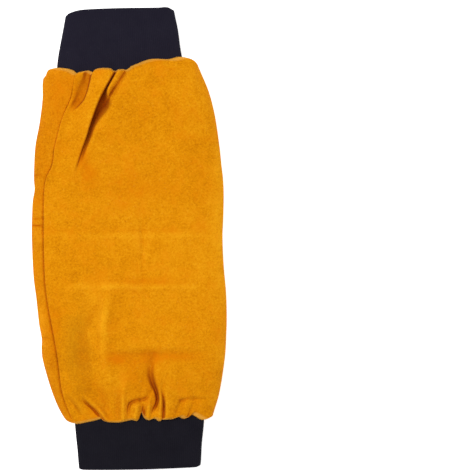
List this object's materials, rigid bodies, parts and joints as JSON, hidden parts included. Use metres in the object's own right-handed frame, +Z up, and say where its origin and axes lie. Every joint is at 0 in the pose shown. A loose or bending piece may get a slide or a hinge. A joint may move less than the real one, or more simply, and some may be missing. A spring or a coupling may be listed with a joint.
{
  "type": "welding sleeve",
  "caption": "Protective suede leather arm sleeve for welding, lying flat: a wide gathered leather tube with a tapered dark knit cuff at the upper arm and at the wrist.",
  "frame": {"origin": "on the table, under the middle of the sleeve's bounding box", "axes": "+Y along the sleeve from the wrist to the upper arm, +X across it, +Z up from the table; the front panel faces up"},
  "size_m": [0.1931, 0.461, 0.0331],
  "materials": {
    "front_leather": "golden brown split suede, matt, short nap",
    "back_leather": "golden brown split suede, matt, slightly more orange",
    "cuff_knit": "very fine navy black rib knit, matt"
  },
  "bodies": {
    "root": {"front_panel": "front_leather", "back_panel": "back_leather", "arm_cuff": "cuff_knit", "wrist_cuff": "cuff_knit"}
  },
  "joints": []
}
